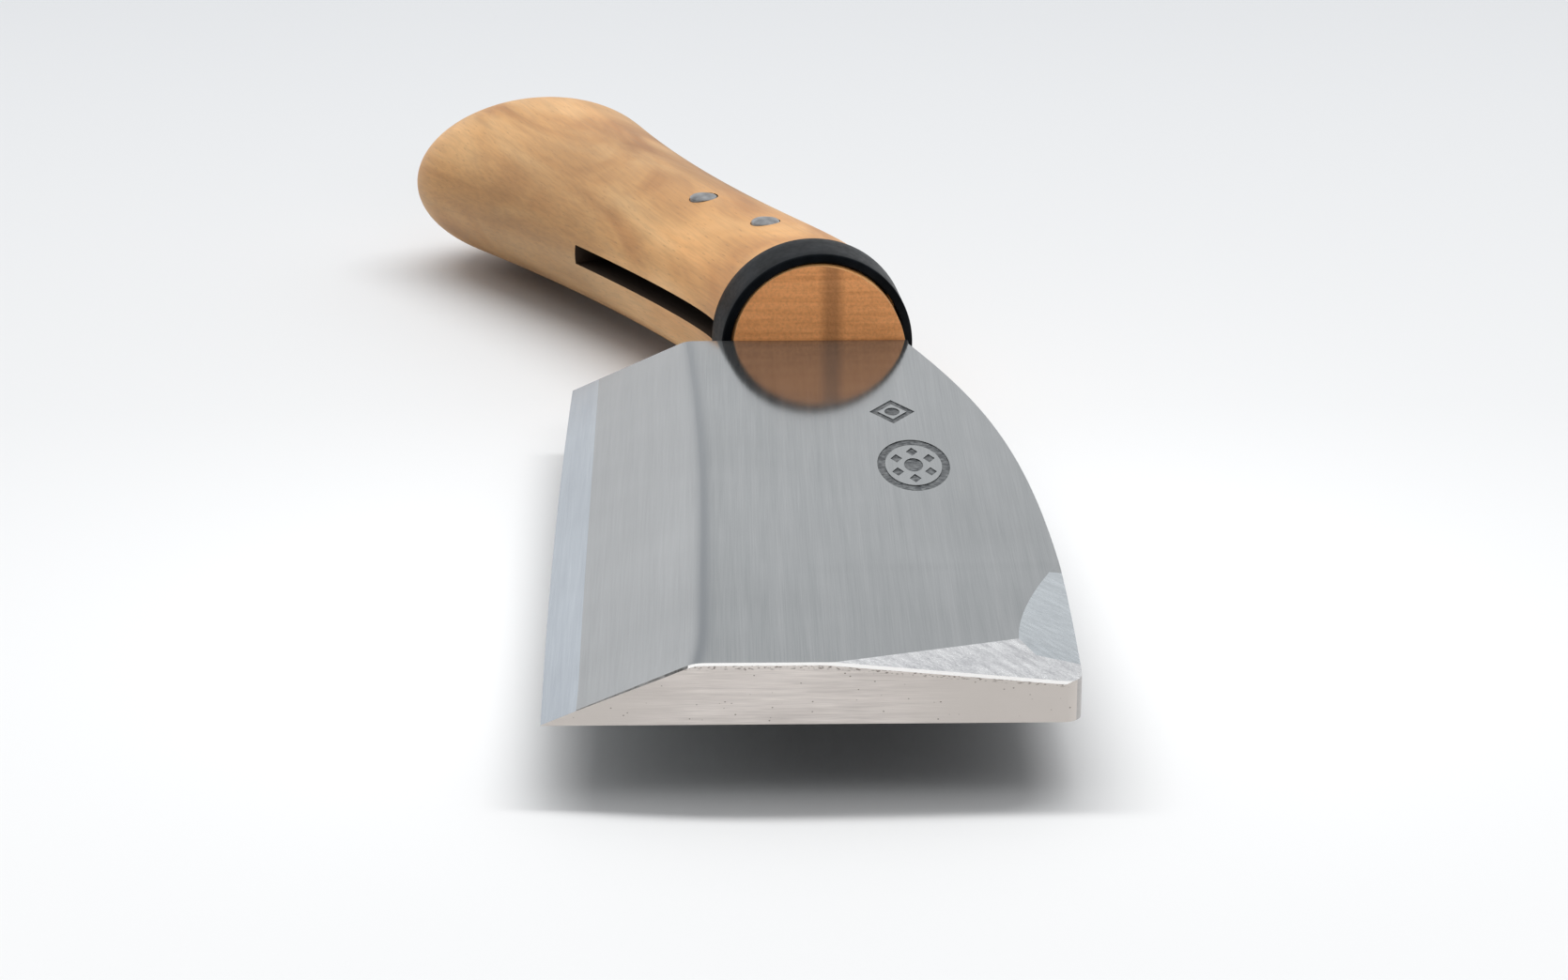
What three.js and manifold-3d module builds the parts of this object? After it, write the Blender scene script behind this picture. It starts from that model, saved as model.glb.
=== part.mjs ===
// A single-bevel hatchet: a flat forged blade with a square nose and a hardened cutting strip,
// held by its tang in a sawn slot of a curved wooden grip, with a steel ferrule and two rivets.
// Millimetres. +X points from the cutting edge to the spine, +Y from the nose to the grip,
// and +Z away from the blade's flat back. The grip's underside rests on Z = 0.
import * as THREE from "three";
import { mergeVertices } from "three/addons/utils/BufferGeometryUtils.js";
import Module from "manifold-3d";

const wasm = await Module();
wasm.setup();

// Driving dimensions. Heights on the blade are measured from its flat back.
const GAP = 0.3;
const BLADE = {
  length: 117.2, thickness: 7.3, cornerRadius: 2.2, bevelFootX: -31.3, ridgeX: -13,
  noseEdgeX: -30.2, bellyControl: [-31.5, 52.7], heelX: -30.9,
  spineX: 30, spineControls: [[30.5, 62.1], [26.6, 85]], neck: [16.2, 115.5],
};
const STEEL_LAYER = { thickness: 1.75, innerX: -6 };
const NOSE_FACET = { startX: 1.5, cornerX: 23.3, cornerY: 6.8, cornerDrop: 2.5, rearX: 29.6, rearY: 30 };
const TANG = { thickness: 2.4, length: 60, rootWidth: 15, tipWidth: 8, rootOverlap: 4 };
const GRIP = {
  startX: 3.9, startY: 117.5, heading: THREE.MathUtils.degToRad(8), seatLength: 10, axisHeight: 5.4,
  bend: [[1.1, 137.4], [-5.9, 147.3], [-45.7, 225]],
  widths: [26.6, 24.3, 31, 47], heights: [26.6, 22.2, 23.5, 27.2],
  buttLength: 18, buttPower: 2.5, endLean: THREE.MathUtils.degToRad(10),
};
const FERRULE = { setback: 2.2, length: 7.5, frontRadius: 13.7, rearRadius: 14, wall: 1.25, softening: 0.3 };
const SLOT = { height: TANG.thickness + 2 * GAP, length: TANG.length + 1.5, openSide: -20 };
const RIVET = { radius: 2.1, domeHeight: 0.5, headRadius: 3.2, headHeight: 1.1 };
const RIVET_PLACES = { front: { along: 25, aside: -1 }, rear: { along: 43, aside: -2 } };
const WASHER = { radius: 4.5, thickness: 1, recess: 1.6 };
const ROUND_SEGMENTS = 40;

// Colour, roughness and metalness of each material.
const MATERIALS = {
  forgedSteel: new THREE.MeshStandardMaterial({ color: 0xa0a2a4, roughness: 0.35, metalness: 1 }),
  hardenedSteel: new THREE.MeshStandardMaterial({ color: 0xb4bbc2, roughness: 0.3, metalness: 1 }),
  wood: new THREE.MeshStandardMaterial({ color: 0xc8a079, roughness: 0.55, metalness: 0 }),
  blackSteel: new THREE.MeshStandardMaterial({ color: 0x1f2022, roughness: 0.4, metalness: 0.6 }),
  greySteel: new THREE.MeshStandardMaterial({ color: 0x98999b, roughness: 0.4, metalness: 1 }),
};

// Solids for cutting and joining.
function solidOf(geometry) {
  const bare = geometry.clone();
  bare.deleteAttribute("normal");
  bare.deleteAttribute("uv");
  const merged = mergeVertices(bare, 1e-4);
  const triVerts = Uint32Array.from(merged.index.array);
  const vertProperties = Float32Array.from(merged.attributes.position.array);
  return new wasm.Manifold(new wasm.Mesh({ numProp: 3, vertProperties, triVerts }));
}

function geometryOf(solid) {
  const mesh = solid.getMesh();
  const geometry = new THREE.BufferGeometry();
  geometry.setAttribute("position", new THREE.BufferAttribute(mesh.vertProperties, 3));
  geometry.setIndex(new THREE.BufferAttribute(mesh.triVerts, 1));
  geometry.computeVertexNormals();
  return geometry;
}

function prism(shape, lowZ, highZ) {
  const geometry = new THREE.ExtrudeGeometry(shape, {
    depth: highZ - lowZ, bevelEnabled: false, curveSegments: 24,
  });
  return geometry.translate(0, 0, lowZ);
}

function block(low, high) {
  const size = new THREE.Vector3().subVectors(high, low);
  const middle = new THREE.Vector3().addVectors(low, high).multiplyScalar(0.5);
  return new THREE.BoxGeometry(size.x, size.y, size.z).translate(middle.x, middle.y, middle.z);
}

function uprightCylinder(radius, lowZ, highZ, x, y) {
  const geometry = new THREE.CylinderGeometry(radius, radius, highZ - lowZ, ROUND_SEGMENTS);
  return geometry.rotateX(Math.PI / 2).translate(x, y, (lowZ + highZ) / 2);
}

// Everything above the plane through three points, as one large block.
function spaceAbove(a, b, c) {
  const reach = 400;
  const normal = new THREE.Vector3().subVectors(b, a).cross(new THREE.Vector3().subVectors(c, a));
  normal.normalize();
  if (normal.z < 0) normal.negate();
  const turn = new THREE.Quaternion().setFromUnitVectors(new THREE.Vector3(0, 0, 1), normal);
  const centre = a.clone().addScaledVector(normal, reach / 2);
  const geometry = new THREE.BoxGeometry(reach, reach, reach).applyQuaternion(turn);
  return solidOf(geometry.translate(centre.x, centre.y, centre.z));
}

// The grip's axis in plan: a straight seat for the ferrule, then a curve towards the butt.
const gripStart = new THREE.Vector2(GRIP.startX, GRIP.startY);
const seatDirection = new THREE.Vector2(-Math.sin(GRIP.heading), Math.cos(GRIP.heading));
const seatEnd = gripStart.clone().addScaledVector(seatDirection, GRIP.seatLength);
const bendPoints = GRIP.bend.map(([x, y]) => new THREE.Vector2(x, y));
const bendCurve = new THREE.CubicBezierCurve(seatEnd, ...bendPoints);
const bendLength = bendCurve.getLength();
const gripLength = GRIP.seatLength + bendLength;

function gripAxis(along) {
  if (along <= GRIP.seatLength) {
    return { point: gripStart.clone().addScaledVector(seatDirection, along), direction: seatDirection };
  }
  const share = Math.min((along - GRIP.seatLength) / bendLength, 1);
  return { point: bendCurve.getPointAt(share), direction: bendCurve.getTangentAt(share) };
}

// A point in plan, some way along the grip and some way towards the spine side.
function besideGrip(along, aside) {
  const { point, direction } = gripAxis(along);
  return new THREE.Vector2(point.x + direction.y * aside, point.y - direction.x * aside);
}

function smoothSize(controls, along) {
  const u = THREE.MathUtils.clamp((along - GRIP.seatLength) / bendLength, 0, 1);
  const v = 1 - u;
  const [a, b, c, d] = controls;
  return a * v ** 3 + 3 * b * v * v * u + 3 * c * v * u * u + d * u ** 3;
}

function ferruleRadius(along) {
  const share = (along - FERRULE.setback) / FERRULE.length;
  return THREE.MathUtils.lerp(FERRULE.frontRadius, FERRULE.rearRadius, share);
}

function seatFullness(along) {
  return (ferruleRadius(along) - FERRULE.wall - GAP) / (GRIP.widths[0] / 2);
}

// Blade outline in plan, without the tang.
function bladeOutline() {
  const { length, noseEdgeX, heelX, bellyControl, spineX, spineControls, neck, cornerRadius: r } = BLADE;
  const shape = new THREE.Shape();
  shape.moveTo(noseEdgeX, 0);
  shape.lineTo(spineX - r, 0);
  shape.absarc(spineX - r, r, r, -Math.PI / 2, 0, false);
  shape.bezierCurveTo(...spineControls[0], ...spineControls[1], ...neck);
  shape.lineTo(neck[0], length);
  shape.lineTo(heelX, length);
  shape.quadraticCurveTo(...bellyControl, noseEdgeX, 0);
  return shape;
}

function bladeSolid() {
  const top = BLADE.thickness;
  const { startX, cornerX, cornerY, cornerDrop, rearX, rearY } = NOSE_FACET;
  const noseCorner = new THREE.Vector3(BLADE.spineX, 0, top - cornerDrop);
  const facetMeeting = new THREE.Vector3(cornerX, cornerY, top);
  const bevel = spaceAbove(
    new THREE.Vector3(BLADE.bevelFootX, 0, 0),
    new THREE.Vector3(BLADE.bevelFootX, 1, 0),
    new THREE.Vector3(BLADE.ridgeX, 0, top),
  );
  const noseFacet = spaceAbove(new THREE.Vector3(startX, 0, top), facetMeeting, noseCorner);
  const spineFacet = spaceAbove(new THREE.Vector3(rearX, rearY, top), facetMeeting, noseCorner);
  const slab = solidOf(prism(bladeOutline(), 0, top));
  return slab.subtract(bevel).subtract(noseFacet).subtract(spineFacet);
}

function steelRegion(margin) {
  const beyond = 200;
  return solidOf(block(
    new THREE.Vector3(-beyond, -beyond, -beyond),
    new THREE.Vector3(STEEL_LAYER.innerX + margin, beyond, STEEL_LAYER.thickness + margin),
  ));
}

// A strip that follows the grip's axis, from one distance along it to another.
function stripAlongGrip(fromAlong, toAlong, sideAt) {
  const steps = 16;
  const step = (toAlong - fromAlong) / steps;
  const spots = Array.from({ length: steps + 1 }, (_, i) => fromAlong + step * i);
  const right = spots.map((along) => besideGrip(along, sideAt(along).right));
  const left = spots.map((along) => besideGrip(along, sideAt(along).left)).reverse();
  return new THREE.Shape([...right, ...left]);
}

function tangHalfWidth(along) {
  return THREE.MathUtils.lerp(TANG.rootWidth, TANG.tipWidth, Math.max(along, 0) / TANG.length) / 2;
}

function tangSolid() {
  const middle = GRIP.axisHeight;
  const sides = (along) => ({ left: -tangHalfWidth(along), right: tangHalfWidth(along) });
  const outline = stripAlongGrip(-TANG.rootOverlap, TANG.length, sides);
  let tang = solidOf(prism(outline, middle - TANG.thickness / 2, middle + TANG.thickness / 2));
  for (const place of Object.values(RIVET_PLACES)) tang = tang.subtract(rivetHole(place));
  return tang;
}

function rivetSpot({ along, aside }) {
  const spot = besideGrip(along, aside);
  const halfWidth = smoothSize(GRIP.widths, along) / 2;
  const halfHeight = (smoothSize(GRIP.heights, along) / 2) * Math.sqrt(1 - (aside / halfWidth) ** 2);
  return { x: spot.x, y: spot.y, top: GRIP.axisHeight + halfHeight, bottom: GRIP.axisHeight - halfHeight };
}

function rivetHole(place) {
  const overshoot = 5;
  const { x, y, top, bottom } = rivetSpot(place);
  return solidOf(uprightCylinder(RIVET.radius + GAP, bottom - overshoot, top + overshoot, x, y));
}

// The washer's flat seat, sunk into the underside of the grip.
function washerRecess(place) {
  const { x, y, bottom } = rivetSpot(place);
  const high = bottom + WASHER.recess;
  return solidOf(uprightCylinder(WASHER.radius + GAP, high - 2 * WASHER.radius, high, x, y));
}

// The grip is turned as a round form of radius 1, then stretched and bent along its axis.
function gripForm() {
  const shoulder = FERRULE.setback + FERRULE.length + GAP;
  const overrun = -4;
  const profile = [
    new THREE.Vector2(0, overrun),
    new THREE.Vector2(seatFullness(FERRULE.setback), overrun),
    new THREE.Vector2(seatFullness(FERRULE.setback), FERRULE.setback),
    new THREE.Vector2(seatFullness(shoulder), shoulder),
    new THREE.Vector2(1, shoulder + 0.01),
  ];
  const bodySteps = 16;
  const buttStart = gripLength - GRIP.buttLength;
  for (let i = 1; i <= bodySteps; i++) {
    profile.push(new THREE.Vector2(1, shoulder + ((buttStart - shoulder) * i) / bodySteps));
  }
  const buttSteps = 10;
  for (let i = 1; i <= buttSteps; i++) {
    const reach = Math.sin((i / buttSteps) * (Math.PI / 2));
    const fullness = i === buttSteps ? 0 : (1 - reach ** GRIP.buttPower) ** (1 / GRIP.buttPower);
    profile.push(new THREE.Vector2(fullness, buttStart + GRIP.buttLength * reach));
  }
  const geometry = new THREE.LatheGeometry(profile, ROUND_SEGMENTS);
  const position = geometry.attributes.position;
  for (let i = 0; i < position.count; i++) {
    const along = position.getY(i);
    const spot = besideGrip(along, (position.getX(i) * smoothSize(GRIP.widths, along)) / 2);
    const height = GRIP.axisHeight + (position.getZ(i) * smoothSize(GRIP.heights, along)) / 2;
    position.setXYZ(i, spot.x, spot.y, height);
  }
  return geometry;
}

// Above the blade the front end of the grip leans back from the blade's rear edge.
function leaningEnd() {
  const foot = new THREE.Vector3(0, GRIP.startY, BLADE.thickness);
  const aside = foot.clone().add(new THREE.Vector3(1, 0, 0));
  const raised = foot.clone().add(new THREE.Vector3(0, Math.tan(GRIP.endLean), 1));
  return spaceAbove(foot, aside, raised);
}

function gripGeometry() {
  const halfSlot = SLOT.height / 2;
  const middle = GRIP.axisHeight;
  const slotSides = (along) => ({ left: SLOT.openSide, right: tangHalfWidth(along) + GAP });
  const slotStrip = stripAlongGrip(-BLADE.thickness, SLOT.length, slotSides);
  const slot = prism(slotStrip, middle - halfSlot, middle + halfSlot);
  const reach = 60;
  const beyondEnd = block(
    new THREE.Vector3(-reach, GRIP.startY - reach, -reach), new THREE.Vector3(reach, GRIP.startY, reach),
  );
  let grip = solidOf(gripForm()).subtract(solidOf(beyondEnd)).subtract(leaningEnd());
  grip = grip.subtract(solidOf(slot));
  for (const place of Object.values(RIVET_PLACES)) {
    grip = grip.subtract(rivetHole(place)).subtract(washerRecess(place));
  }
  return geometryOf(grip);
}

function ferruleGeometry() {
  const { setback: front, length, frontRadius, rearRadius, wall, softening: s } = FERRULE;
  const rear = front + length;
  const profile = [
    new THREE.Vector2(frontRadius - wall, front),
    new THREE.Vector2(frontRadius - s, front),
    new THREE.Vector2(frontRadius, front + s),
    new THREE.Vector2(rearRadius, rear - s),
    new THREE.Vector2(rearRadius - s, rear),
    new THREE.Vector2(rearRadius - wall, rear),
    new THREE.Vector2(frontRadius - wall, front),
  ];
  return new THREE.LatheGeometry(profile, ROUND_SEGMENTS);
}

// A rivet stands along Z: domed at the top, and spread into a low head under its washer.
function rivetGeometry({ top, bottom }) {
  const { radius, domeHeight, headRadius, headHeight } = RIVET;
  const headTop = bottom + WASHER.recess - WASHER.thickness - 2 * GAP;
  const profile = [
    new THREE.Vector2(0, headTop - headHeight),
    new THREE.Vector2(headRadius * 0.7, headTop - headHeight * 0.85),
    new THREE.Vector2(headRadius, headTop - headHeight * 0.3),
    new THREE.Vector2(headRadius, headTop),
    new THREE.Vector2(radius, headTop),
    new THREE.Vector2(radius, top),
    new THREE.Vector2(radius * 0.75, top + domeHeight * 0.7),
    new THREE.Vector2(0, top + domeHeight),
  ];
  return new THREE.LatheGeometry(profile, ROUND_SEGMENTS).rotateX(Math.PI / 2);
}

function washerGeometry({ bottom }) {
  const high = bottom + WASHER.recess - GAP;
  const low = high - WASHER.thickness;
  const hole = RIVET.radius + GAP;
  const profile = [
    new THREE.Vector2(hole, low),
    new THREE.Vector2(WASHER.radius, low),
    new THREE.Vector2(WASHER.radius, high),
    new THREE.Vector2(hole, high),
    new THREE.Vector2(hole, low),
  ];
  return new THREE.LatheGeometry(profile, ROUND_SEGMENTS).rotateX(Math.PI / 2);
}

const hatchet = new THREE.Group();
const parts = new THREE.Group();
hatchet.add(parts);

function addPiece(name, geometry, material, x = 0, y = 0, z = 0) {
  const mesh = new THREE.Mesh(geometry, material);
  mesh.name = name;
  mesh.position.set(x, y, z);
  parts.add(mesh);
  return mesh;
}

const wholeBlade = bladeSolid();
const bladeBody = wholeBlade.subtract(steelRegion(GAP)).add(tangSolid());
addPiece("blade_body", geometryOf(bladeBody), MATERIALS.forgedSteel);
addPiece("edge_steel", geometryOf(wholeBlade.intersect(steelRegion(0))), MATERIALS.hardenedSteel);
addPiece("handle", gripGeometry(), MATERIALS.wood);

const ferrule = addPiece(
  "ferrule", ferruleGeometry(), MATERIALS.blackSteel, GRIP.startX, GRIP.startY, GRIP.axisHeight,
);
ferrule.rotation.z = GRIP.heading;

for (const [end, place] of Object.entries(RIVET_PLACES)) {
  const spot = rivetSpot(place);
  addPiece(`rivet_${end}`, rivetGeometry(spot), MATERIALS.greySteel, spot.x, spot.y);
  addPiece(`washer_${end}`, washerGeometry(spot), MATERIALS.greySteel, spot.x, spot.y);
}

// The origin is under the middle of the whole object, on the surface that it rests on.
hatchet.updateMatrixWorld(true);
const bounds = new THREE.Box3().setFromObject(parts, true);
const centre = bounds.getCenter(new THREE.Vector3());
parts.position.set(-centre.x, -centre.y, -bounds.min.z);

export default hatchet;
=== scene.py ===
"""Looks of a single-bevel hatchet: ground steel blade, curved wooden grip, black ferrule, rivets.

Shapes are worked out in millimetres on the blade's own plan, x from the cutting edge to the
spine, y from the nose to the grip and z up from the flat back, and placed in the frame by PLACE.
"""
import math

import bmesh
import bpy
from mathutils import Matrix, Vector, noise

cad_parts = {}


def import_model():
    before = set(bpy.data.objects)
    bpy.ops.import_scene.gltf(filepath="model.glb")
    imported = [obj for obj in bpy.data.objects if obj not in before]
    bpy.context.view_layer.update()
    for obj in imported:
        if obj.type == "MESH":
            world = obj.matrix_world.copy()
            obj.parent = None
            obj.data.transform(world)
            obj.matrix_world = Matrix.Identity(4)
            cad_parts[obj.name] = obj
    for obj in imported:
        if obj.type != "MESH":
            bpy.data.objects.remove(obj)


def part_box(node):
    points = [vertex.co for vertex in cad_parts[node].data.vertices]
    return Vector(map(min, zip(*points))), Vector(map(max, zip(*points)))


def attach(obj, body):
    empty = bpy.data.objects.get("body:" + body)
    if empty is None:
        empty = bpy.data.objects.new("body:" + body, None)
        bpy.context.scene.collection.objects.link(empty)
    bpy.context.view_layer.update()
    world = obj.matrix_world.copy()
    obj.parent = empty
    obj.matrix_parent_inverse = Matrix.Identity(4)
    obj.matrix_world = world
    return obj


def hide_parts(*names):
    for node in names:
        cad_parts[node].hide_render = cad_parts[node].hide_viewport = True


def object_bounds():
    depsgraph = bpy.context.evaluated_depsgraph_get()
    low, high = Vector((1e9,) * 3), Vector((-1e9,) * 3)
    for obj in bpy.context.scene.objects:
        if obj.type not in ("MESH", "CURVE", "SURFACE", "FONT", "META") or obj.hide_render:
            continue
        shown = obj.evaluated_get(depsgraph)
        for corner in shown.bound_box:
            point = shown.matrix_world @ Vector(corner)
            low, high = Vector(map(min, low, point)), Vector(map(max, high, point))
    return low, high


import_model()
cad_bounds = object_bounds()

MM = 0.001

# Places taken from the frame.
body_low, body_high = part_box("blade_body")
steel_low, steel_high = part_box("edge_steel")
EDGE_REACH = 31.09
PLACE = Vector((steel_low[0] + EDGE_REACH * MM, body_low[1], body_low[2]))
LENGTH = (steel_high[1] - steel_low[1]) / MM
THICKNESS = (body_high[2] - body_low[2]) / MM
STEEL_THICKNESS = (steel_high[2] - steel_low[2]) / MM
STEEL_INNER_X = (steel_high[0] - PLACE.x) / MM

# Blade sizes.
EDGE_CURVE = (-30.2, -31.5, -30.9)
EDGE_HEIGHT = 0.06
RIDGE_MIDDLE = -12.5
RIDGE_STRAIGHT = (12, 40)
RIDGE_BOWS = (0.7, 2.4)
BURR_WIDTH = 0.25
MARK_DEPTH = 0.12
STEEL_METALLIC = 0.91
RIDGE_SOFTNESS = 0.16
RIDGE_SHADE = (0.35, 0.8)
RIDGE_OFFSETS = (-3.2, -2.0, -1.3, -0.9, -0.6, -0.3, 0, 0.3, 0.6, 0.9, 1.3, 1.8, 2.4, 3.2)
CORNER_RADIUS = 2.2
SPINE_X = 30
NECK = (16.2, 115.5)
SPINE_BULGE = 0.48
SPINE_BULGE_SHARE = 0.53
NECK_LEAD = (10.4, 30.5)
FACET_START_X = 1.5
FACET_MEETING = (23.3, 6.8)
FACET_END_Y = 30
SIDE_FACET_WIDTH = 6.3
CORNER_DROP = 2.5
SLIVER = 0.01
NOSE_STATIONS = (BURR_WIDTH, 0.9, 3, 4.2, 5.4, FACET_MEETING[1], 9, 12, 15, 18, 21, 24, 27, FACET_END_Y)
SMALL_MARK = (12.6, 86)
LARGE_MARK = (14.4, 65)

# Tang and grip sizes.
GRIP_START = Vector((3.9, 117.5))
GRIP_HEADING = math.radians(8)
SEAT_LENGTH = 10
AXIS_HEIGHT = 5.4
END_LEAN = math.radians(10)
BEND = [Vector((1.1, 137.4)), Vector((-5.9, 147.3)), Vector((-45.68, 224.94))]
WIDTHS = (26.6, 24.3, 31, 47)
HEIGHTS = (26.6, 22.2, 23.5, 27.2)
BUTT_LENGTH = 18
BUTT_POWER = 2.5
END_CHAMFER = 0.9
TANG_LENGTH = 60
TANG_WIDTHS = (15, 8)
TANG_THICKNESS = 2.4
GAP = 0.3
SLOT_LENGTH = TANG_LENGTH + 1.5
FERRULE = {"front": 2.2, "length": 7.5, "front_radius": 13.7, "rear_radius": 14, "wall": 1.25}
FERRULE_SOFTNESS = 0.35
RIVET_RADIUS = 2.1
RIVET_PLACES = {"front": (25, -1), "rear": (43, -2)}
WASHER_RADIUS = 4.5
WASHER_THICKNESS = 1
WASHER_RECESS = 1.6

# Camera and light, in metres and degrees.
CAMERA_PLACE = PLACE + Vector((-9.73, -374.8, 164.1)) * MM
CAMERA_PITCH = 20
CAMERA_YAW = -1
LENS = 84.5
BRIGHT_SIDE = (0, 0.75, 0.66)
ROOM_DIM = 0.12
ROOM_BRIGHT = 0.9
STRIP = {"place": (0.02, 0.3, 1.0), "target": (0, 0, 0), "size": (1.5, 0.15), "power": 9}
CARD_OFFSET = Vector((0, -0.085, 0.07))
CARD_SIZE = (0.09, 0.03)
CARD_POWER = 0.042
FLOOR_SIZE = 6


# ---------------------------------------------------------------- small tools

def lerp(a, b, t):
    return a + (b - a) * t


def clamp(value, low=0, high=1):
    return max(low, min(high, value))


def placed(point):
    """A point of the plan, in millimetres, as a place in the frame."""
    return PLACE + Vector(point) * MM


def new_object(name, bm, materials, sharp_angle=30):
    """Turns a bmesh into an object with smooth shading that breaks at sharp edges."""
    bmesh.ops.recalc_face_normals(bm, faces=bm.faces)
    mesh = bpy.data.meshes.new(name)
    bm.to_mesh(mesh)
    bm.free()
    obj = bpy.data.objects.new(name, mesh)
    bpy.context.scene.collection.objects.link(obj)
    for mat in materials:
        mesh.materials.append(mat)
    shade(mesh, sharp_angle)
    return obj


def shade(mesh, sharp_angle):
    mesh.shade_smooth()
    mesh.set_sharp_from_angle(angle=math.radians(sharp_angle))


def rings_mesh(rings):
    """A bmesh lofted through rings of equal point counts, with its ends filled."""
    bm = bmesh.new()
    loops = [[bm.verts.new(placed(p)) for p in ring] for ring in rings]
    count = len(rings[0])
    for one, two in zip(loops, loops[1:]):
        for i in range(count):
            j = (i + 1) % count
            bm.faces.new((one[i], one[j], two[j], two[i]))
    bm.faces.new(loops[0])
    bm.faces.new(list(reversed(loops[-1])))
    return bm


def lathe_mesh(profile, segments):
    """A bmesh turned round its own z axis from (radius, height) points on or off the axis."""
    bm = bmesh.new()
    rings = []
    for radius, height in profile:
        if radius < 1e-6:
            rings.append([bm.verts.new((0, 0, height * MM))])
            continue
        turn = [2 * math.pi * i / segments for i in range(segments)]
        rings.append([bm.verts.new((radius * MM * math.cos(a), radius * MM * math.sin(a), height * MM))
                      for a in turn])
    for one, two in zip(rings, rings[1:]):
        for i in range(segments):
            j = (i + 1) % segments
            corners = [one[i % len(one)], one[j % len(one)], two[j % len(two)], two[i % len(two)]]
            unique = list(dict.fromkeys(corners))
            bm.faces.new(unique)
    return bm


def cut(obj, cutters, operation="DIFFERENCE"):
    """Cuts or joins closed meshes for good, then removes the cutters."""
    for cutter in cutters:
        modifier = obj.modifiers.new("cut", "BOOLEAN")
        modifier.operation = operation
        modifier.solver = "EXACT"
        modifier.object = cutter
    bpy.context.view_layer.update()
    depsgraph = bpy.context.evaluated_depsgraph_get()
    mesh = bpy.data.meshes.new_from_object(obj.evaluated_get(depsgraph))
    obj.modifiers.clear()
    obj.data = mesh
    for cutter in cutters:
        bpy.data.objects.remove(cutter)


# ---------------------------------------------------------------- materials

def new_material(name, colour, roughness, metallic=0.0):
    mat = bpy.data.materials.new(name)
    mat.use_nodes = True
    shader = mat.node_tree.nodes["Principled BSDF"]
    shader.inputs["Base Color"].default_value = (*colour, 1)
    shader.inputs["Roughness"].default_value = roughness
    shader.inputs["Metallic"].default_value = metallic
    return mat, shader


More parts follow.
